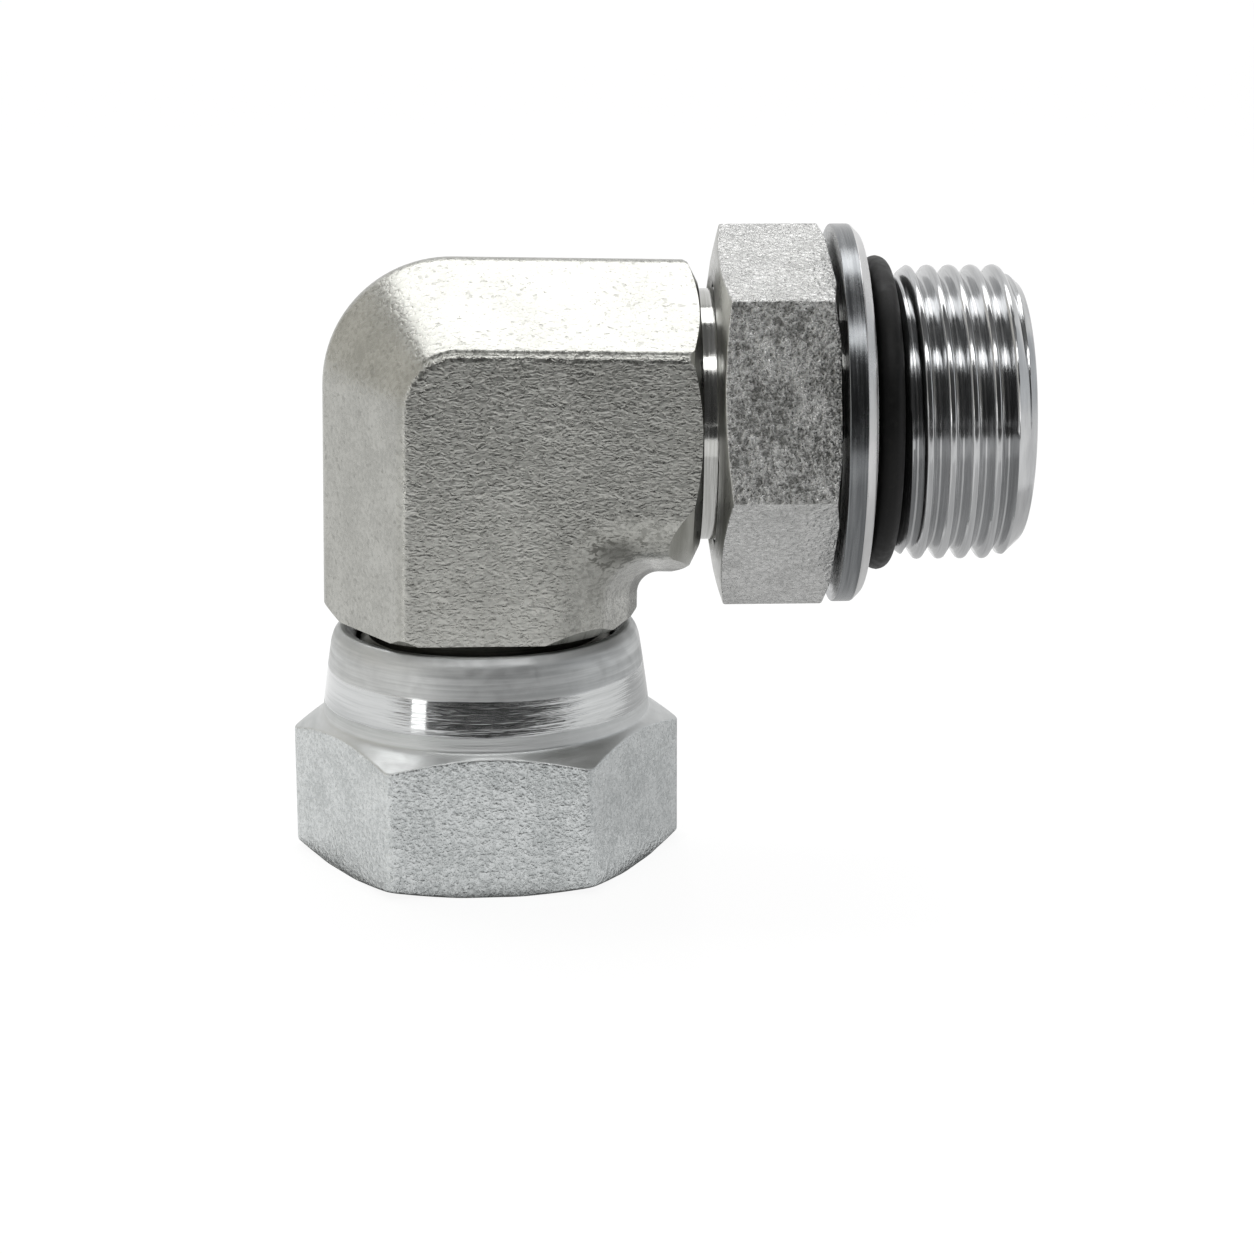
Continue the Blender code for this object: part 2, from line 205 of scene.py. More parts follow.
def forged_material():
    t = Tree("forged_zinc")
    _, ny, _ = t.split(t.normal())
    x, y, z = t.split(t.coords())
    flat = t.span(t.math("ABSOLUTE", ny), 0.80, 0.97)
    within = t.math("MULTIPLY", t.span(x, -10.5, -4.0), t.span(z, 36.0, 30.5))  # the inner side of the bend, where the flat runs over softly
    flat = t.math("MAXIMUM", flat, t.math("MULTIPLY", within, 0.75))
    # short wrinkles lying along the stud on the flats, a much finer grain on the bevels
    wrinkle = t.noise(t.coords((0.8, 1.0, 1.7)), 1.45, 2.2, 0.55, 1.3)
    grain = t.noise(t.coords(), 2.4, 2.5, 0.55, 0.5)
    wide = t.noise(t.coords(), 0.22, 2.0, 0.5, 0.3)
    low = t.span(z, 22.0, 36.0, 0.55, 1.0)  # the wrinkles fade towards the swivel leg's end
    relief = t.math("MULTIPLY", t.math("MULTIPLY", wrinkle, flat), low)
    relief = t.math("MULTIPLY_ADD", grain, t.math("MULTIPLY_ADD", flat, -0.22, 0.42), relief)
    relief = t.math("MULTIPLY_ADD", wide, 0.28, relief)
    pits = t.span(t.noise(t.coords(), 1.5, 1.0, 0.5, 0.3), 0.30, 0.38)
    relief = t.math("MULTIPLY_ADD", pits, 0.08, relief)
    n = t.bump(relief, 0.098)
    tone = t.math("MULTIPLY_ADD", wide, 0.35, t.math("MULTIPLY", grain, 0.65))
    colour = t.mix(t.span(tone, 0.38, 0.66), (0.39, 0.39, 0.365), (0.52, 0.52, 0.49))
    colour = t.mix(t.span(pits, 0.0, 0.7, 0.32, 0.0), colour, (0.17, 0.17, 0.155))
    bevel = t.math("SUBTRACT", 1.0, flat)
    colour = t.mix(t.math("MULTIPLY", bevel, 0.16), colour, (0.10, 0.10, 0.09))
    # darker wrinkles on the flats: a faint tone everywhere, and painted shade where they lie on the inner side of the
    # bend
    creases = t.span(t.noise(t.coords((0.8, 1.0, 1.6)), 1.35, 2.0, 0.55, 1.4), 0.52, 0.40)
    colour = t.mix(t.math("MULTIPLY", t.math("MULTIPLY", creases, flat), t.math("MULTIPLY_ADD", within, 0.62, 0.04)), colour, (0.10, 0.10, 0.09))
    # painted shade: the inner side of the bend darkened all over, where the leg and the lock nut above keep the light
    # off it
    colour = t.mix(t.math("MULTIPLY", within, 0.22), colour, (0.20, 0.20, 0.18))
    # painted shade: a dark smear on the face just inside the bend, in its concave crease
    off_x = t.math("MULTIPLY_ADD", x, 0.42, 1.42)
    off_z = t.math("MULTIPLY_ADD", z, 0.62, -18.8)
    spread = t.math("MULTIPLY_ADD", off_x, off_x, t.math("MULTIPLY", off_z, off_z))
    spread = t.math("MULTIPLY_ADD", t.math("ADD", creases, grain), -0.9, t.math("ADD", spread, 0.9))
    colour = t.mix(t.span(spread, 1.5, 0.3, 0.0, 0.68), colour, (0.10, 0.10, 0.09))
    # painted shade along the trimmed parting line inside the bend, where it faces down into the shade, and a crease
    # beside it
    inside = t.math("MULTIPLY", t.span(x, -3.6, -2.4), t.span(z, 29.5, 27.8))
    seam = t.math("MULTIPLY", t.span(t.math("ABSOLUTE", t.math("MULTIPLY_ADD", grain, 1.6, t.math("SUBTRACT", y, 0.8))), 3.4, 2.4), inside)
    colour = t.mix(t.math("MULTIPLY", seam, 0.72), colour, (0.10, 0.10, 0.09))
    rough = t.span(grain, 0.3, 0.7, 0.24, 0.34)
    return t.finish(colour, rough, n)


def flat_material(name, lo, hi, depth, scale, rough=(0.26, 0.38), painted_side_light=0.0):
    """The speckled flats of a nut: drawn bar under zinc."""
    t = Tree(name)
    peel = t.noise(t.coords(), scale, 2.5, 0.55, 0.6)
    fine = t.noise(t.coords(), scale * 2.6, 2.0, 0.5, 0.0)
    wide = t.noise(t.coords(), 0.3, 2.0, 0.5, 0.0)
    relief = t.math("MULTIPLY_ADD", fine, 0.25, peel)
    n = t.bump(relief, depth)
    tone = t.math("MULTIPLY_ADD", wide, 0.25, t.math("MULTIPLY_ADD", fine, 0.30, t.math("MULTIPLY", peel, 0.45)))
    colour = t.mix(t.span(tone, 0.38, 0.60), lo, hi)
    if painted_side_light:
        # painted light: the flats between the front and back ones are made lighter, for the light that falls on them
        # and the bright floor they mirror
        _, ny, _ = t.split(t.normal())
        colour = t.mix(t.span(t.math("ABSOLUTE", ny), 0.92, 0.82, 0.0, painted_side_light), colour, (0.78, 0.78, 0.77))
    return t.finish(colour, t.span(fine, 0.3, 0.7, *rough), n)


def turned_material(name, axis, lo, hi, groove, depth, rough, band=None):
    """A turned surface: fine grooves round the axis whose polish varies from groove to groove."""
    t = Tree(name)
    along, place = around(t, axis)
    lines = t.noise(place, groove, 3.0, 0.65, 0.0)
    broad = t.noise(place, groove * 0.22, 2.0, 0.5, 0.0)
    relief = t.math("MULTIPLY_ADD", broad, 1.4, lines)
    n = t.bump(relief, depth)
    colour = t.mix(t.span(t.math("MULTIPLY_ADD", broad, 0.5, t.math("MULTIPLY", lines, 0.5)), 0.36, 0.64), lo, hi)
    haze = t.noise(t.coords(), 0.5, 3.0, 0.6, 0.4)
    r = t.span(t.math("MULTIPLY_ADD", lines, 0.6, t.math("MULTIPLY", haze, 0.4)), 0.36, 0.64, rough[0], rough[1])
    if band:
        # one band was rolled smooth, and the metal over and under it is duller
        edge = t.math("MULTIPLY_ADD", lines, 0.9, t.math("SUBTRACT", along, 0.45))
        smooth = t.math("MULTIPLY", t.span(edge, band[0] - 0.15, band[0] + 0.15), t.span(edge, band[1] + 0.15, band[1] - 0.15))
        dull = t.span(haze, 0.35, 0.65, 0.46, 0.60)
        r = t.math("ADD", t.math("MULTIPLY", r, smooth), t.math("MULTIPLY", dull, t.math("SUBTRACT", 1.0, smooth)))
    return t.finish(colour, r, n)


def rubber_material():
    t = Tree("black_rubber")
    fine = t.noise(t.coords(), 6.0, 2.0, 0.5, 0.0)
    dust = t.noise(t.coords(), 1.1, 3.0, 0.6, 0.3)
    n = t.bump(fine, 0.012)
    colour = t.mix(t.span(dust, 0.45, 0.75), (0.004, 0.004, 0.004), (0.011, 0.011, 0.010))
    t.bsdf.inputs["Specular IOR Level"].default_value = 0.22
    return t.finish(colour, t.span(dust, 0.3, 0.7, 0.42, 0.58), n, metallic=0.0)


# ================================================================ mesh helpers


def about_z(r, a, h):
    return (r * math.cos(a) + X_SHIFT, r * math.sin(a), h)


def about_x(r, a, h):
    """Angle 0 points up, and a positive angle turns from +Z towards -Y."""
    return (h + X_SHIFT, -r * math.sin(a), AXIS_Z + r * math.cos(a))


def to_mesh(name, points, faces, face_mats=None, sharp=34):
    me = bpy.data.meshes.new(name)
    me.from_pydata([(p[0] * MM, p[1] * MM, p[2] * MM) for p in points], [], faces)
    if face_mats is not None:
        me.polygons.foreach_set("material_index", face_mats)
    settle(me, sharp)
    return me


def settle(me, sharp):
    """Merges doubles, points the normals out and marks the sharp edges."""
    bm = bmesh.new()
    bm.from_mesh(me)
    bmesh.ops.remove_doubles(bm, verts=bm.verts, dist=2e-6)
    bmesh.ops.dissolve_degenerate(bm, edges=bm.edges, dist=1e-6)
    bmesh.ops.recalc_face_normals(bm, faces=bm.faces)
    if bm.calc_volume(signed=True) < 0:
        bmesh.ops.reverse_faces(bm, faces=bm.faces)
    limit = math.radians(sharp)
    for f in bm.faces:
        f.smooth = True
    for e in bm.edges:
        e.smooth = not (len(e.link_faces) == 2 and e.calc_face_angle(0.0) > limit)
    bm.to_mesh(me)
    bm.free()


def new_object(name, me):
    obj = bpy.data.objects.new(name, me)
    bpy.context.scene.collection.objects.link(obj)
    return obj


def piece(name, me, mats, body, node):
    obj = new_object(name, me)
    for m in mats:
        me.materials.append(m)
    mod = obj.modifiers.new("even_normals", "WEIGHTED_NORMAL")
    mod.keep_sharp = True
    mod.weight = 60
    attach(obj, body)
    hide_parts(node)
    return obj


def ring_mesh(name, loop_of, angles, place, sharp=34):
    """A closed ring. loop_of(angle) gives (radius, height, material) points, as many at every angle; angles run right round, with the last a full turn after the first, so that a thread can come back one pitch on."""
    loops = [loop_of(a) for a in angles]
    count = len(loops[0])
    points = [place(r, a, h) for a, loop in zip(angles, loops) for r, h, _ in loop]
    faces, mats = [], []
    for i in range(len(angles) - 1):
        for k in range(count):
            m = (k + 1) % count
            faces.append((i * count + k, (i + 1) * count + k, (i + 1) * count + m, i * count + m))
            mats.append(loops[i][k][2])
    return to_mesh(name, points, faces, mats, sharp)


def turn(count, start=0.0, extra=()):
    """Angles right round, both ends in, with extra ones near the hexagon's corners."""
    base = [start + TAU * i / count for i in range(count + 1)]
    return sorted(set(round(a, 9) for a in base + [x for x in extra if start < x < start + TAU]))


def filleted(points, radii, steps=4):
    """Rounds the corners of an open run of (r, h, material) points. radii has one value a point, 0 to leave it."""
    out = []
    for i, (r, h, m) in enumerate(points):
        rad = radii[i]
        if not rad or i in (0, len(points) - 1):
            out.append((r, h, m))
            continue
        p, a, b = Vector((r, h)), Vector(points[i - 1][:2]), Vector(points[i + 1][:2])
        u, v = (a - p), (b - p)
        lu, lv = u.length, v.length
        if lu < 1e-6 or lv < 1e-6:
            out += [(r, h, m)] * (steps + 1)
            continue
        u, v = u / lu, v / lv
        cut = min(rad, lu * 0.45, lv * 0.45)
        before = points[i - 1][2]
        for s in range(steps + 1):
            w = s / steps
            q = (p + u * cut) * (1 - w) ** 2 + p * (2 * w * (1 - w)) + (p + v * cut) * w**2
            out.append((q.x, q.y, before if s < steps // 2 else m))
    return out


def hex_radius(angle, across_flats, corner, soft=0.45):
    """Distance from the axis to a hexagon's side, its corners rounded to the radius soft."""
    off = (angle - corner + math.pi / 6) % (math.pi / 3) - math.pi / 6  # from the nearest corner
    centre = (across_flats / 2 - soft) / math.cos(math.pi / 6)
    edge = math.atan2(soft * 0.5, centre + soft * math.cos(math.pi / 6))
    if abs(off) < edge:
        return centre * math.cos(off) + math.sqrt(max(0.0, soft**2 - (centre * math.sin(off)) ** 2))
    return across_flats / 2 / math.cos(math.pi / 6 - abs(off))


def corner_angles(across_flats, corner, start, soft=0.45):
    centre = (across_flats / 2 - soft) / math.cos(math.pi / 6)
    edge = math.atan2(soft * 0.5, centre + soft * math.cos(math.pi / 6))
    found = []
    for k in range(-1, 8):
        c = corner + k * math.pi / 3
        found += [c + edge * w for w in (-1.6, -1, -0.66, -0.33, 0, 0.33, 0.66, 1, 1.6)]
    return found


def thread_depth(u, crest=0.44, root=0.20, half=1.0, slope=math.sqrt(3)):
    """How far below the crest a 60 degree thread lies at u millimetres along from the crest, with both rounded."""
    u = abs((u + half) % (2 * half) - half)
    c, r = crest * math.sin(math.radians(60)), root * math.sin(math.radians(60))
    top = crest * 0.5
    if u < c:
        return crest - math.sqrt(crest**2 - u**2)
    if u < half - r:
        return top + slope * (u - c)
    bottom = top + slope * (half - r - c) + root * 0.5
    v = half - u
    return bottom - (root - math.sqrt(max(0.0, root**2 - v**2)))


THREAD_STEPS = (-0.86, -0.74, -0.5, -0.26, -0.17, -0.08, 0.0, 0.08, 0.17, 0.26, 0.5, 0.74, 0.86, 0.93, 1.0, 1.07)


def thread_rows(angle, lo, hi, start, radius_at, material):
    """Rows of a helical thread between lo and hi along the axis, for one angle: they follow the helix and pile up at both ends."""
    first = math.floor((lo - start) / THREAD_PITCH) - 2
    last = math.ceil((hi - start) / THREAD_PITCH) + 1
    rows = []
    for k in range(first, last + 1):
        for s in THREAD_STEPS:
            u = s  # millimetres from the crest; the pitch is two
            h = start + THREAD_PITCH * (k + angle / TAU) + u
            h = min(max(h, lo), hi)
            rows.append((h, h - start - THREAD_PITCH * angle / TAU))
    return [(radius_at(h, u), h, material) for h, u in rows]


# ================================================================ elbow


def half_section(flat_half, edge_round):
    """(depth, half width) down the forging's section from the front flat's edge to the parting line, rounded at both."""
    top = BODY_R

    def gap(b):
        return RIDGE_ROUND + (top - RIDGE_ROUND - flat_half) * math.sin(b) - FACE_Y * math.cos(b)

    lo, hi = math.radians(35), math.radians(85)
    for _ in range(50):
        mid = (lo + hi) / 2
        lo, hi = (mid, hi) if gap(mid) < 0 else (lo, mid)
    beta = (lo + hi) / 2
    reach = edge_round * math.tan(beta / 2)
    points = []
    for i in range(11):  # from the flat's edge up on to the bevel
        a = beta * i / 10
        points.append((FACE_Y - edge_round + edge_round * math.cos(a), flat_half - reach + edge_round * math.sin(a)))
    start = (RIDGE_ROUND * math.cos(beta), top - RIDGE_ROUND + RIDGE_ROUND * math.sin(beta))
    end = points[-1]
    for w in (0.07, 0.14, 0.21, 0.3, 0.42, 0.56, 0.7, 0.85):
        points.append((end[0] + (start[0] - end[0]) * w, end[1] + (start[1] - end[1]) * w))
    for i in range(9):
        a = beta + (math.pi / 2 - beta) * i / 8
        points.append((RIDGE_ROUND * math.cos(a), top - RIDGE_ROUND + RIDGE_ROUND * math.sin(a)))
    return points


def section():
    """(y, outer half width, inner half width) from the front flat to the back one."""
    points, inner = half_section(FLAT_HALF, EDGE_ROUND), half_section(INNER_HALF, INNER_ROUND)

    def inner_at(depth):
        for (d0, h0), (d1, h1) in zip(inner, inner[1:]):
            if d0 >= depth >= d1:
                return h0 if d0 - d1 < 1e-9 else h0 + (h1 - h0) * (d0 - depth) / (d0 - d1)
        return inner[0][1] if depth > inner[0][0] else inner[-1][1]

    front = [(-y, h, inner_at(y)) for y, h in points]
    back = [(-y, h, g) for y, h, g in reversed(front[:-1])]
    return front + back


def outline(half, inner, bend_steps=26, crotch_steps=16):
    """The elbow's outline at one depth, turned by BODY_LEAN, with both legs' ends square to their axes."""
    bend = OUTER_BEND - (BODY_R - half) * 0.86
    top, low = AXIS_Z + BODY_R - (BODY_R - half) * 0.91, AXIS_Z - inner  # the flat reaches a little higher than it does sideways
    crotch = INNER_BEND + (BODY_R - inner) * 0.62
    loop = [(inner, BODY_END_Z - 1)]
    for i in range(crotch_steps + 1):
        a = math.pi - (math.pi / 2) * i / crotch_steps
        loop.append((inner + crotch + crotch * math.cos(a), low - crotch + crotch * math.sin(a)))
    loop.append((BODY_END_X + 1, low))
    loop.append((BODY_END_X + 1, top))
    for i in range(bend_steps + 1):
        a = math.pi / 2 + (math.pi / 2) * i / bend_steps
        loop.append((-half + bend + bend * math.cos(a), top - bend + bend * math.sin(a)))
    loop.append((-half, BODY_END_Z - 1))
    lean = math.radians(BODY_LEAN)
    cx, cz = LEAN_AT
    turned = []
    for x, z in loop:
        dx, dz = x - cx, z - cz
        turned.append((cx + dx * math.cos(lean) + dz * math.sin(lean), cz - dx * math.sin(lean) + dz * math.cos(lean)))
    for k, (x, z) in enumerate(turned):
        if k in (0, len(turned) - 1):
            turned[k] = (x + math.tan(lean) * (BODY_END_Z - z), BODY_END_Z)
        elif k in (crotch_steps + 2, crotch_steps + 3):
            turned[k] = (BODY_END_X, z + math.tan(lean) * (x - BODY_END_X))
    return turned


def solid_from(name, points, faces):
    me = to_mesh(name, points, faces)
    return new_object(name, me)


def turned_solid(name, profile, place, count=96):
    """A solid from an open profile of (r, h) whose ends are on the axis."""
    inner = profile[1:-1]
    n = len(inner)
    angles = [TAU * i / count for i in range(count)]
    points = [place(r, a, h) for a in angles for r, h in inner]
    points += [place(0.0, 0.0, profile[0][1]), place(0.0, 0.0, profile[-1][1])]
    first, last = len(points) - 2, len(points) - 1
    faces = []
    for i in range(count):
        j = (i + 1) % count
        faces.append((first, j * n, i * n))
        faces += [(i * n + k, j * n + k, j * n + k + 1, i * n + k + 1) for k in range(n - 1)]
        faces.append((last, i * n + n - 1, j * n + n - 1))
    return solid_from(name, points, faces)


def cut(obj, tools):
    """Takes the tools away from obj for good and removes them."""
    for tool in tools:
        mod = obj.modifiers.new("cut", "BOOLEAN")
        mod.operation, mod.solver, mod.object = "DIFFERENCE", "EXACT", tool
    dg = bpy.context.evaluated_depsgraph_get()
    me = bpy.data.meshes.new_from_object(obj.evaluated_get(dg))
    obj.modifiers.clear()
    obj.data = me
    for tool in tools:
        bpy.data.objects.remove(tool)
    return me


def cone_tool(name, place, profile):
    """The ring that is turned off a leg's end."""
    loop = [(r, h, 0) for r, h in profile]
    return new_object(name, ring_mesh(name, lambda a: loop, turn(192), place))


def build_forging(mats):
    stations = section()
    loops = [(y, outline(h, g)) for y, h, g in stations]
    count = len(loops[0][1])
    points = [(x + X_SHIFT, y, z) for y, loop in loops for x, z in loop]
    faces = [tuple(range(count)), tuple(reversed(range((len(loops) - 1) * count, len(loops) * count)))]
    for i in range(len(loops) - 1):
        for k in range(count):
            m = (k + 1) % count
            faces.append((i * count + k, i * count + m, (i + 1) * count + m, (i + 1) * count + k))
    block = solid_from("elbow_block", points, faces)

    (r0, e0), (r1, e1), (r2, e2) = END_X_CONE
    rz, lz = END_Z_CONE
    sz = (BODY_R - rz) / lz
    tools = [
        cone_tool("tool_x", about_x, [(r0, e0 + 0.5), (r0, e0), (r1, e1), (r2, e2), (22.0, e2), (22.0, e0 + 0.5)]),
        cone_tool("tool_z", about_z, [(rz, BODY_END_Z - 0.5), (rz, BODY_END_Z), (rz + sz * (lz + 0.6), BODY_END_Z + lz + 0.6), (19.0, BODY_END_Z + lz + 0.6), (19.0, BODY_END_Z - 0.5)]),
        turned_solid("tool_bore_x", [(0, 0.0), (BORE_R, 0.0), (BORE_R, 9.5), (10.4, 9.5), (10.4, BODY_END_X + 1), (0, BODY_END_X + 1)], about_x, 128),
        turned_solid("tool_bore_z", [(0, BODY_END_Z - 1), (10.6, BODY_END_Z - 1), (10.6, 27.5), (BORE_R, 27.5), (BORE_R, AXIS_Z + 1.5), (BORE_R * 0.72, AXIS_Z + 5.6), (0, AXIS_Z + BORE_R)], about_z, 128),
    ]
    me = cut(block, tools)
    bpy.data.objects.remove(block)
    # which faces were turned: the ends and their cones, and the bores
    for p in me.polygons:
        x, y, z = (c / MM for c in p.center)
        x -= X_SHIFT
        rho_x, rho_z = math.hypot(y, z - AXIS_Z), math.hypot(x, y)
        index = 0
        to_x, to_z = y * p.normal.y + (z - AXIS_Z) * p.normal.z, x * p.normal.x + y * p.normal.y
        if (rho_x < 10.6 and x > 0 and to_x < 0.01) or (rho_z < 10.8 and z < AXIS_Z + 9 and to_z < -0.5):
            index = 2
        off_x = min(abs(rho_x - ra - (rb - ra) * (x - ea) / (eb - ea)) if eb <= x <= ea else 9 for (ra, ea), (rb, eb) in zip(END_X_CONE, END_X_CONE[1:]))
        on_end_x = x > BODY_END_X - 0.02 or (off_x < 0.06 and p.normal.x > 0.3)
        on_end_z = z < BODY_END_Z + 0.02 or (z < BODY_END_Z + 2 and abs(rho_z - rz - (z - BODY_END_Z) * sz) < 0.05 and p.normal.z < -0.3)
        if index == 0 and (on_end_x or on_end_z):
            index = 1
        p.material_index = index
    settle(me, 24)
    return piece("elbow_forging", me, mats, "elbow", "elbow_body")


def build_stud(mats):
    """The turned neck, both threads, undercut and end of the stud, with its bore."""
    start = THREAD_START

    def loop_of(angle):
        def near(h, u):
            crest = STUD_THREAD_R
            crest = min(crest, NECK_R + (h - (NECK_END_X - 0.8)) * (STUD_THREAD_R - NECK_R) / 1.6)
            crest = min(crest, UNDERCUT_R + (UNDERCUT_X[0] - h) * 3.0)
            return max(min(STUD_THREAD_R - thread_depth(u), crest), NECK_R if h < 26 else UNDERCUT_R)

        def far(h, u):
            rise = THREAD_R - 1.2 + (h - UNDERCUT_X[1]) * 0.75
            end = STUD_END_R + (STUD_END_X - h) * (THREAD_R - STUD_END_R) / STUD_CHAMFER
            return max(min(THREAD_R - thread_depth(u), rise, end), UNDERCUT_R)

        head = [
            (10.9, 9.45, 0),
            (10.9, 12.0, 0),
            (10.9, 13.0, 0),
            (10.9, 18.8, 0),
            (10.9, 19.3, 0),
            (NECK_R, 19.5, 0),
            (NECK_R, 20.3, 0),
            (NECK_R, NECK_END_X - 0.85, 0),
        ]
        rows = thread_rows(angle, NECK_END_X - 0.8, UNDERCUT_X[0], start, near, 1)
        cutaway = [(UNDERCUT_R, UNDERCUT_X[0] + 0.05, 0), (UNDERCUT_R, 33.0, 0), (UNDERCUT_R, UNDERCUT_X[1] - 0.25, 0), (UNDERCUT_R + 0.15, UNDERCUT_X[1] - 0.05, 0)]
        rows2 = thread_rows(angle, UNDERCUT_X[1], STUD_END_X - 0.12, start, far, 1)
        tip = [
            (STUD_END_R - 0.02, STUD_END_X - 0.03, 2),
            (STUD_END_R - 0.12, STUD_END_X, 2),
            (BORE_R + 0.75, STUD_END_X, 2),
            (BORE_R + 0.62, STUD_END_X - 0.06, 2),
            (BORE_R + 0.04, STUD_END_X - 0.62, 3),
            (BORE_R, STUD_END_X - 0.75, 3),
            (BORE_R, 9.45, 3),
        ]
        return head + rows + cutaway + rows2 + tip

    me = ring_mesh("stud", loop_of, turn(168), about_x, sharp=40)
    return piece("stud", me, mats, "elbow", "elbow_body")


def build_tail(mats):
    """The turned tail inside the swivel nut: step, groove, bead and nose."""
    outer = [
        (TAIL_NECK[0], 27.4, 0),
        (TAIL_NECK[0], TAIL_NECK[1], 0),
        (TAIL_R, TAIL_NECK[1] - 0.4, 0),
        (TAIL_R, BEAD_Z[1], 0),
        (BEAD_R, BEAD_Z[1] - 0.3, 0),
        (BEAD_R, BEAD_Z[0], 0),
        (NOSE_R, BEAD_Z[0], 0),
        (NOSE_R, NOSE_Z, 0),
        (NOSE_TIP_R, NOSE_TIP_Z, 1),
        (BORE_R + 0.4, NOSE_TIP_Z, 1),
        (BORE_R, NOSE_TIP_Z + 0.5, 1),
        (BORE_R, 27.4, 1),
    ]
    loop = filleted(outer, [0, 0.1, 0.1, 0.12, 0.12, 0.3, 0.15, 0.15, 0.12, 0.1, 0.1, 0])
    me = ring_mesh("swivel_tail", lambda a: loop, turn(144), about_z)
    return piece("swivel_tail", me, mats, "elbow", "elbow_body")


# ================================================================ nuts


def build_swivel(mats):
    corner = math.radians(SWIVEL_TURN)
    start = corner - math.pi / 2
    widest = SWIVEL_AF / math.sqrt(3)

    def loop_of(angle):
        rim = hex_radius(angle, SWIVEL_AF, corner, 1.2)
        low_r = min(NUT_BOTTOM_R, rim - 0.05)
        low_z = max((rim - low_r) * 0.30, 0.05)
        top = HEX_TOP_Z + (widest - rim) * SWIVEL_SLOPE
        base = min(HEX_TOP_Z + (widest - COLLAR[0][0]) * SWIVEL_SLOPE, COLLAR[0][1] - 0.05)
        outer = [
            (MOUTH_R + 0.4, 0.0, 1),
            (low_r, 0.0, 1),
            (rim, low_z, 0),
            (rim, top, 1),
            (COLLAR[0][0] + 0.35, base, 1),
            (COLLAR[0][0], base + 0.32, 1),
            *[(r, z, 2) for r, z in COLLAR[1:-1]],
            (COLLAR[-1][0], COLLAR[-1][1], 2),
            (COLLAR[-1][0] - 0.5, COLLAR_TOP_Z, 1),
            (COLLAR_BORE_R + 0.85, COLLAR_TOP_Z, 1),
            (COLLAR_BORE_R, COLLAR_TOP_Z - 0.9, 1),
            (COLLAR_BORE_R, RECESS_Z[1] + 0.05, 3),
            (RECESS_R, RECESS_Z[1], 3),
            (RECESS_R, RECESS_Z[0] + 0.5, 3),
        ]
        loop = filleted(outer, [0, 0.22, 0.22, 0.2, 0.3, 0.3, 0.5, 0.5, 0.6, 0.25, 0.2, 0.25, 0.2, 0.1, 0.1, 0])

        def inside(h, u):
            thread = SWIVEL_THREAD_R + thread_depth(u + 1.0, 0.28, 0.3)  # its crests point inwards
            thread = SWIVEL_THREAD_R + 1.1 - (thread - SWIVEL_THREAD_R)
            mouth = MOUTH_R - h
            return max(thread, mouth) if h < RECESS_Z[0] else RECESS_R

        rows = thread_rows(angle, 0.0, RECESS_Z[0], 0.4, inside, 3)
        return loop + list(reversed(rows))

    angles = turn(264, start, corner_angles(SWIVEL_AF, corner, start, 1.2))
    me = ring_mesh("swivel_nut_steel", loop_of, angles, about_z, sharp=32)
    return piece("swivel_nut_steel", me, mats, "swivel", "swivel_nut")


def build_lock_nut(mats):
    corner = math.radians(LOCK_TURN)
    start = corner - math.pi / 2
    x0, x1 = LOCK_X

    def loop_of(angle):
        rim = hex_radius(angle, LOCK_AF, corner)
        near_r, far_r = min(LOCK_NEAR[0], rim - 0.05), min(LOCK_FAR[0], rim - 0.05)
        slope = LOCK_BOSS / (LOCK_NEAR[0] - LOCK_LIP_R - 0.25)
        near_x = x0 - (LOCK_NEAR[0] - near_r) * slope
        outer = [
            (LOCK_BORE_R, x0 + 1.45, 2),
            (LOCK_LIP_R, x0 + 0.1, 2),
            (LOCK_LIP_R + 0.25, x0 - LOCK_BOSS, 1),
            (near_r, near_x, 1),
            (rim, near_x + max((rim - near_r) * LOCK_NEAR[1], 0.03), 0),
            (rim, x1 - (rim - far_r) * LOCK_FAR[1], 1),
            (far_r, x1, 1),
            (LOCK_BORE_R + 0.6, x1, 2),
            (LOCK_BORE_R, x1 - 0.6, 2),
        ]
        return filleted(outer, [0, 0.1, 0.12, 0.2, 0.2, 0.2, 0.2, 0.1, 0])

    angles = turn(240, start, corner_angles(LOCK_AF, corner, start))
    me = ring_mesh("lock_nut_steel", loop_of, angles, about_x, sharp=32)
    return piece("lock_nut_steel", me, mats, "locknut", "lock_nut")


def build_washer(mats):
    x0, x1, x2, x3 = WASHER_X
    outer = [
        (WASHER_BORE_R, x0 + 0.5, 0),
        (WASHER_BORE_R + 0.1, x0, 0),
        (WASHER_R, x0, 0),
        (WASHER_R, x1, 1),
        (WASHER_FACE_R, x2, 1),
        (WASHER_HUB_R + 0.1, x2, 1),
        (WASHER_HUB_R - 0.1, x3, 1),
        (WASHER_BORE_R + 0.1, x3, 0),
        (WASHER_BORE_R, x3 - 0.5, 0),
    ]
    loop = filleted(outer, [0, 0.05, 0.15, 0.18, 0.35, 0.12, 0.1, 0.08, 0], 5)
    me = ring_mesh("backup_washer_steel", lambda a: loop, turn(216), about_x)
    return piece("backup_washer_steel", me, mats, "washer", "backup_washer")


def build_oring(mats):
    half = (ORING_OUT_R - ORING_IN_R) / 2
    middle = (ORING_OUT_R + ORING_IN_R) / 2

    def bulge(t):
        flash = 0.02 * math.exp(-((math.sin(t) / 0.07) ** 2))  # the mould's thin parting line
        return half - 0.02 + flash

    steps = [TAU * i / 60 for i in range(60)]
    loop = [(middle + bulge(t) * math.cos(t), ORING_X + bulge(t) * math.sin(t), 0) for t in steps]
    me = ring_mesh("o_ring_rubber", lambda a: loop, turn(168), about_x)
    return piece("o_ring_rubber", me, mats, "elbow", "o_ring")


# ================================================================ stage, light and camera


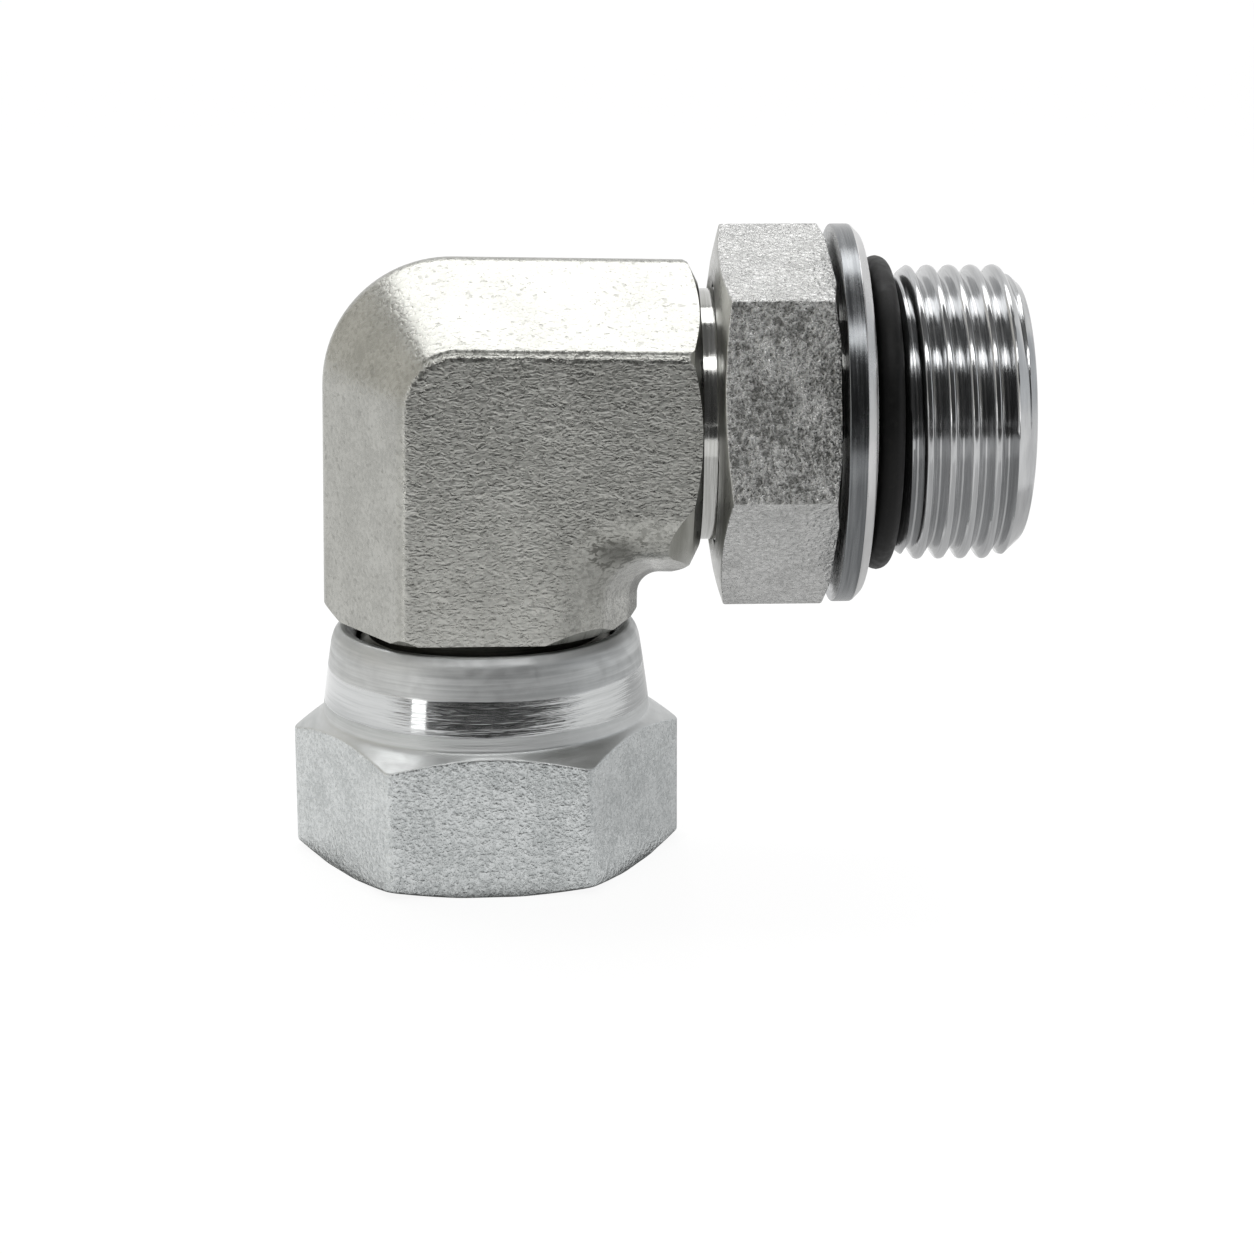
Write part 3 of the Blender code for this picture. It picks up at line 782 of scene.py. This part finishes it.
def floor():
    size = 9000
    me = to_mesh("floor", [(-size, -size, 0), (size, -size, 0), (size, size, 0), (-size, size, 0)], [(0, 1, 2, 3)])
    obj = new_object("floor", me)
    obj.location.z = -0.00002
    t = Tree("pale_floor")
    t.bsdf.inputs["Specular IOR Level"].default_value = 0.15
    mottle = t.noise(t.coords(), 0.02, 2.0, 0.5, 0.0)
    t.finish(t.mix(mottle, (0.09, 0.09, 0.09), (0.11, 0.11, 0.11)), 0.75, metallic=0.0)
    t.bsdf.inputs["Emission Color"].default_value = (1.0, 1.0, 1.0, 1.0)
    t.bsdf.inputs["Emission Strength"].default_value = 0.91
    # seen from below the floor is clear, so that the underside can be looked at
    out = t.t.nodes["Material Output"]
    geo, clear, both = t.node("ShaderNodeNewGeometry"), t.node("ShaderNodeBsdfTransparent"), t.node("ShaderNodeMixShader")
    t.t.links.new(geo.outputs["Backfacing"], both.inputs[0])
    t.t.links.new(t.bsdf.outputs[0], both.inputs[1])
    t.t.links.new(clear.outputs[0], both.inputs[2])
    t.t.links.new(both.outputs[0], out.inputs["Surface"])
    me.materials.append(t.mat)


def card(name, corners, level):
    """A dark card that only reflections see."""
    me = to_mesh(name, corners, [tuple(range(len(corners)))])
    obj = new_object(name, me)
    mat = bpy.data.materials.new(name)
    mat.use_nodes = True
    nt = mat.node_tree
    nt.nodes.remove(nt.nodes["Principled BSDF"])
    glow = nt.nodes.new("ShaderNodeEmission")
    glow.inputs["Color"].default_value = (level, level, level, 1)
    nt.links.new(glow.outputs[0], nt.nodes["Material Output"].inputs["Surface"])
    mat.cycles.emission_sampling = "NONE"
    me.materials.append(mat)
    obj.visible_camera = obj.visible_diffuse = obj.visible_shadow = obj.visible_transmission = False
    obj.visible_volume_scatter = False


def area(name, place, aim, size, watts, glossy=True, colour=(1, 1, 1)):
    light = bpy.data.lights.new(name, "AREA")
    light.shape = "RECTANGLE"
    light.size, light.size_y = size
    light.energy = watts
    light.color = colour
    obj = bpy.data.objects.new(name, light)
    bpy.context.scene.collection.objects.link(obj)
    obj.location = Vector(place)
    obj.rotation_euler = (Vector(aim) - Vector(place)).to_track_quat("-Z", "Y").to_euler()
    obj.visible_camera = False
    obj.visible_glossy = glossy
    return obj


def strip(name, angle_deg, distance, width_deg, length, radiance):
    """A long light along X, seen from the stud at this angle over from the front."""
    a = math.radians(angle_deg)
    y, z = -distance * math.cos(a), AXIS_Z * MM + distance * math.sin(a)
    width = 2 * distance * math.tan(math.radians(width_deg / 2))
    light = bpy.data.lights.new(name, "AREA")
    light.shape = "RECTANGLE"
    light.size, light.size_y = length, width
    light.energy = radiance * math.pi * length * width
    obj = bpy.data.objects.new(name, light)
    bpy.context.scene.collection.objects.link(obj)
    # local X along the world's X, local -Z towards the stud
    back = Vector((0, -math.cos(a), math.sin(a)))
    side = Vector((1, 0, 0))
    up = back.cross(side)
    obj.matrix_world = Matrix(((side.x, up.x, back.x, 0.0), (side.y, up.y, back.y, y), (side.z, up.z, back.z, z), (0, 0, 0, 1)))
    obj.visible_camera = False
    return obj


def surroundings():
    """A pale studio round the object with a darker room in front of it and over it."""
    world = bpy.data.worlds.new("studio")
    bpy.context.scene.world = world
    world.use_nodes = True
    nt = world.node_tree
    nt.nodes.clear()

    def node(kind, **props):
        n = nt.nodes.new(kind)
        for k, v in props.items():
            setattr(n, k, v)
        return n

    def op(kind, a, b=0.0, clamp=False):
        n = node("ShaderNodeMath", operation=kind, use_clamp=clamp)
        for s, v in zip(n.inputs, (a, b)):
            if isinstance(v, bpy.types.NodeSocket):
                nt.links.new(v, s)
            else:
                s.default_value = v
        return n.outputs[0]

    tc = node("ShaderNodeTexCoord")
    sep = node("ShaderNodeSeparateXYZ")
    nt.links.new(tc.outputs["Generated"], sep.inputs[0])
    x, y, z = sep.outputs
    over = op("DIVIDE", op("ARCTAN2", z, op("MULTIPLY", y, -1.0)), math.pi)  # 0 front, 0.5 up, 1 back
    ramp = node("ShaderNodeValToRGB")
    nt.links.new(over, ramp.inputs[0])
    stops = [(0.0, 0.045), (0.27, 0.05), (0.34, 0.13), (0.40, 0.17), (0.56, 0.17), (0.66, 0.15), (0.715, 0.89), (0.80, 1.0), (0.88, 0.95), (1.0, 0.95)]
    els = ramp.color_ramp.elements
    els[0].position, els[0].color = stops[0][0], (stops[0][1],) * 3 + (1,)
    els[1].position, els[1].color = stops[-1][0], (stops[-1][1],) * 3 + (1,)
    for p, v in stops[1:-1]:
        e = els.new(p)
        e.color = (v, v, v, 1)

    def smooth(value, lo, hi):
        n = node("ShaderNodeMapRange", interpolation_type="SMOOTHSTEP")
        nt.links.new(value, n.inputs["Value"])
        n.inputs["From Min"].default_value, n.inputs["From Max"].default_value = lo, hi
        return n.outputs["Result"]

    left = smooth(op("MULTIPLY", x, -1.0), 0.64, 0.68)
    right = smooth(x, 0.80, 0.84)
    mixed = node("ShaderNodeMix", data_type="RGBA")
    nt.links.new(left, mixed.inputs["Factor"])
    nt.links.new(ramp.outputs[0], mixed.inputs["A"])
    mixed.inputs["B"].default_value = (0.80, 0.78, 0.73, 1)
    mixed2 = node("ShaderNodeMix", data_type="RGBA")
    nt.links.new(right, mixed2.inputs["Factor"])
    nt.links.new(mixed.outputs["Result"], mixed2.inputs["A"])
    far = node("ShaderNodeMix", data_type="RGBA")
    nt.links.new(smooth(x, 0.88, 0.92), far.inputs["Factor"])
    far.inputs["A"].default_value = (0.70, 0.72, 0.74, 1)
    far.inputs["B"].default_value = (0.74, 0.76, 0.78, 1)
    nt.links.new(far.outputs["Result"], mixed2.inputs["B"])

    path = node("ShaderNodeLightPath")
    seen = node("ShaderNodeMix", data_type="RGBA")
    nt.links.new(path.outputs["Is Camera Ray"], seen.inputs["Factor"])
    nt.links.new(mixed2.outputs["Result"], seen.inputs["A"])
    seen.inputs["B"].default_value = (0.98, 0.98, 0.98, 1)
    bg = node("ShaderNodeBackground")
    nt.links.new(seen.outputs["Result"], bg.inputs["Color"])
    out = node("ShaderNodeOutputWorld")
    nt.links.new(bg.outputs[0], out.inputs["Surface"])


def lights():
    strip("strip_front", 55.8, 0.62, 11.5, 0.9, 4.2)
    strip("strip_back", 110.8, 0.62, 21, 0.9, 3.7)
    area("side_strip", (-0.23, -0.21, 0.04), (-0.0154, 0, 0.016), (0.055, 0.12), 0.05)
    card("front_card", [(-700, -186, 0.6), (900, -186, 0.6), (900, -2500, 0.6), (-700, -2500, 0.6)], 0.05)
    # the shade that lies under the stud and beside the nut
    card("stud_shade", [(3, -80, 0.4), (95, -80, 0.4), (95, 70, 0.4), (3, 70, 0.4)], 0.66)
    reach = SWIVEL_AF / math.sqrt(3) + 1.0
    turns = [math.radians(SWIVEL_TURN + 60 * i) for i in range(6)]
    card("foot_shade", [(X_SHIFT + reach * math.cos(a), reach * math.sin(a), 0.03) for a in turns], 0.12)


def camera():
    a, e, r = math.radians(-1.9228), math.radians(11.6333), math.radians(-0.123)
    forward = Vector((-math.sin(a) * math.cos(e), math.cos(a) * math.cos(e), -math.sin(e)))
    right = Vector((math.cos(a), math.sin(a), 0))
    up = right.cross(forward)
    right, up = right * math.cos(r) + up * math.sin(r), up * math.cos(r) - right * math.sin(r)
    place = Vector(((14 + X_SHIFT) * MM, 0, 33.4 * MM)) - forward * 0.240
    data = bpy.data.cameras.new("camera")
    data.sensor_width = 36
    data.lens = 2603 / 1254 * 36
    data.shift_x = -(635.67 - 627) / 1254
    data.shift_y = (492.29 - 627) / 1254
    data.clip_start, data.clip_end = 0.01, 50
    obj = bpy.data.objects.new("camera", data)
    bpy.context.scene.collection.objects.link(obj)
    obj.matrix_world = Matrix(
        (
            (right.x, up.x, -forward.x, place.x),
            (right.y, up.y, -forward.y, place.y),
            (right.z, up.z, -forward.z, place.z),
            (0, 0, 0, 1),
        )
    )
    bpy.context.scene.camera = obj


def main():
    forged = forged_material()
    end_turned = turned_material("turned_end", "x", (0.24, 0.24, 0.215), (0.38, 0.38, 0.35), 6.0, 0.02, (0.25, 0.4))
    neck = turned_material("turned_neck", "x", (0.44, 0.44, 0.42), (0.62, 0.62, 0.60), 4.5, 0.015, (0.07, 0.17))
    thread = turned_material("rolled_thread", "x", (0.40, 0.405, 0.41), (0.54, 0.545, 0.55), 5.0, 0.012, (0.12, 0.22))
    face = turned_material("turned_face", "x", (0.50, 0.50, 0.49), (0.60, 0.60, 0.59), 5.0, 0.03, (0.20, 0.36))
    bore = turned_material("bored", "x", (0.38, 0.38, 0.36), (0.50, 0.50, 0.48), 4.0, 0.03, (0.30, 0.45))
    # painted shade: the tail is coloured near black for the shadow in the gap under the elbow's end
    tail = turned_material("turned_tail", "z", (0.07, 0.07, 0.06), (0.15, 0.15, 0.13), 5.0, 0.02, (0.30, 0.44))
    nut_flat = flat_material("nut_flats", (0.43, 0.45, 0.45), (0.65, 0.67, 0.67), 0.15, 2.6)
    nut_turned = turned_material("nut_turned", "z", (0.46, 0.475, 0.47), (0.62, 0.63, 0.63), 3.2, 0.04, (0.40, 0.54))
    collar = turned_material("crimped_collar", "z", (0.44, 0.45, 0.45), (0.60, 0.61, 0.61), 3.2, 0.014, (0.05, 0.11), BAND)
    nut_inside = turned_material("nut_inside", "z", (0.15, 0.15, 0.14), (0.26, 0.26, 0.25), 5.0, 0.02, (0.30, 0.45))
    lock_flat = flat_material("lock_nut_flats", (0.13, 0.13, 0.124), (0.54, 0.54, 0.53), 0.42, 2.1, (0.23, 0.34), 0.52)
    lock_turned = turned_material("lock_nut_turned", "x", (0.34, 0.34, 0.325), (0.45, 0.45, 0.43), 3.0, 0.03, (0.26, 0.40))
    washer = turned_material("washer_turned", "x", (0.14, 0.146, 0.152), (0.25, 0.258, 0.265), 5.0, 0.012, (0.19, 0.29))
    washer_side = turned_material("washer_side", "x", (0.54, 0.54, 0.54), (0.70, 0.70, 0.70), 5.0, 0.02, (0.24, 0.38))
    rubber = rubber_material()

    build_forging([forged, end_turned, bore])
    build_stud([neck, thread, face, bore])
    build_tail([tail, bore])
    build_swivel([nut_flat, nut_turned, collar, nut_inside])
    build_lock_nut([lock_flat, lock_turned, lock_turned])
    build_washer([washer, washer_side])
    build_oring([rubber])

    floor()
    surroundings()
    lights()
    camera()
    scene = bpy.context.scene
    scene.view_settings.view_transform = "Standard"
    scene.view_settings.look = "None"


main()
